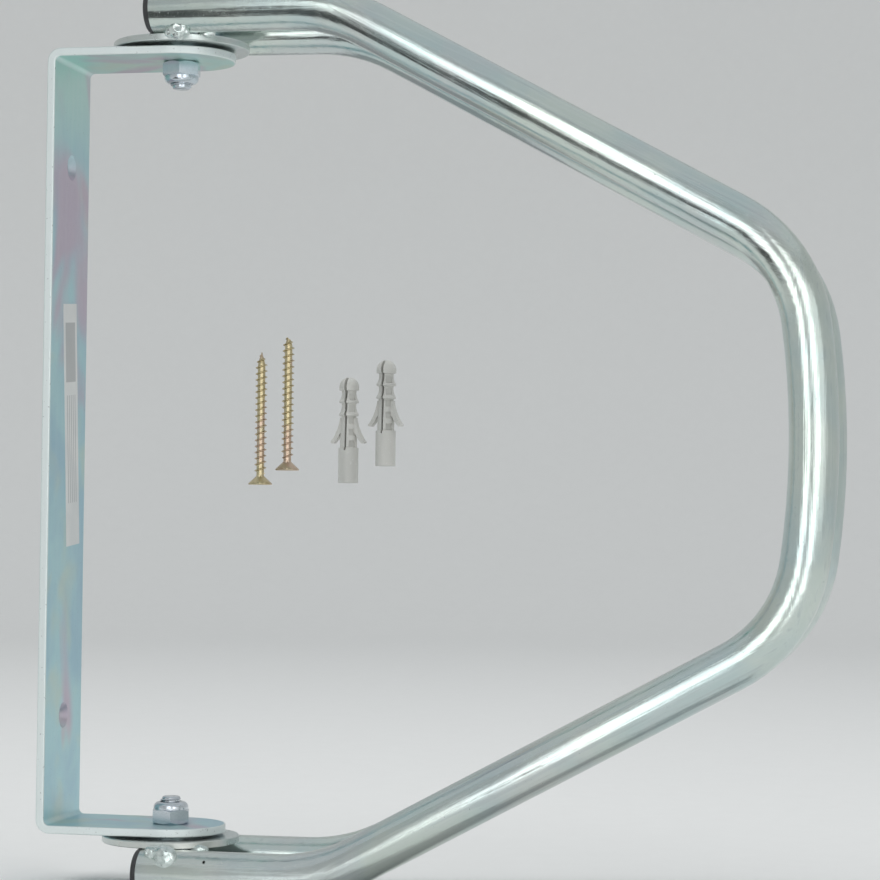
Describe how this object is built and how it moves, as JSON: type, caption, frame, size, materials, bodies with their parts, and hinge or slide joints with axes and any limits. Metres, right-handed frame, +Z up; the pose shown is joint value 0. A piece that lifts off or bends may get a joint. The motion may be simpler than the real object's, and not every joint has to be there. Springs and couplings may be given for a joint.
{
  "type": "bicycle wall rack",
  "caption": "Wall-mounted bicycle rack: a flat-bar U bracket holds a pair of parallel bent-tube hoops that grip a wheel and swivel sideways on a vertical axis.",
  "frame": {"origin": "centre of the wall bracket's back face, midway between its ends", "axes": "+X out from the wall into the room, +Y along the wall, +Z up and parallel to the pivot axis"},
  "size_m": [0.2878, 0.0807, 0.327],
  "materials": {
    "zinc_bar": "bright zinc plating with a faint blue and pink passivation film",
    "zinc_disc": "bright zinc plating",
    "zinc_tube": "bright zinc plating with fine drawing marks along the tube",
    "zinc_fastener": "bright zinc plating",
    "weld_metal": "zinc plated weld beads, glossy and uneven",
    "black_plastic": "moulded polyethylene, satin",
    "white_nylon": "plain nylon",
    "grey_nylon": "moulded nylon, matte",
    "yellow_zinc": "yellow passivated zinc plating",
    "label_paper": "blank coated paper"
  },
  "bodies": {
    "wall_unit": {"wall_bracket": "zinc_bar", "bracket_label": "label_paper", "upper_pivot_bolt": "zinc_fastener", "upper_lock_nut": "zinc_fastener", "upper_head_washer": "zinc_fastener", "upper_spacer_washer": "zinc_fastener", "upper_nylon_ring": "white_nylon", "lower_pivot_bolt": "zinc_fastener", "lower_lock_nut": "zinc_fastener", "lower_head_washer": "zinc_fastener", "lower_spacer_washer": "zinc_fastener", "lower_nylon_ring": "white_nylon"},
    "hoop_frame": {"upper_pivot_disc": "zinc_disc", "lower_pivot_disc": "zinc_disc", "front_hoop": "zinc_tube", "front_upper_end_cap": "black_plastic", "front_upper_welds": "weld_metal", "front_lower_end_cap": "black_plastic", "front_lower_welds": "weld_metal", "rear_hoop": "zinc_tube", "rear_upper_end_cap": "black_plastic", "rear_upper_welds": "weld_metal", "rear_lower_end_cap": "black_plastic", "rear_lower_welds": "weld_metal"},
    "loose_fixings": {"left_wall_screw": "yellow_zinc", "right_wall_screw": "yellow_zinc", "left_wall_plug": "grey_nylon", "right_wall_plug": "grey_nylon"}
  },
  "joints": [
    {"name": "hoop_swivel", "type": "hinge", "parent": "wall_unit", "child": "hoop_frame", "pos_m": [0.045, 0, 0], "axis": [0, 0, 1], "range_deg": [-90, 90]},
    {"name": "fixings_lift", "type": "slide", "parent": "wall_unit", "child": "loose_fixings", "axis": [0, 0, 1], "range_m": [0, 0.03]}
  ]
}
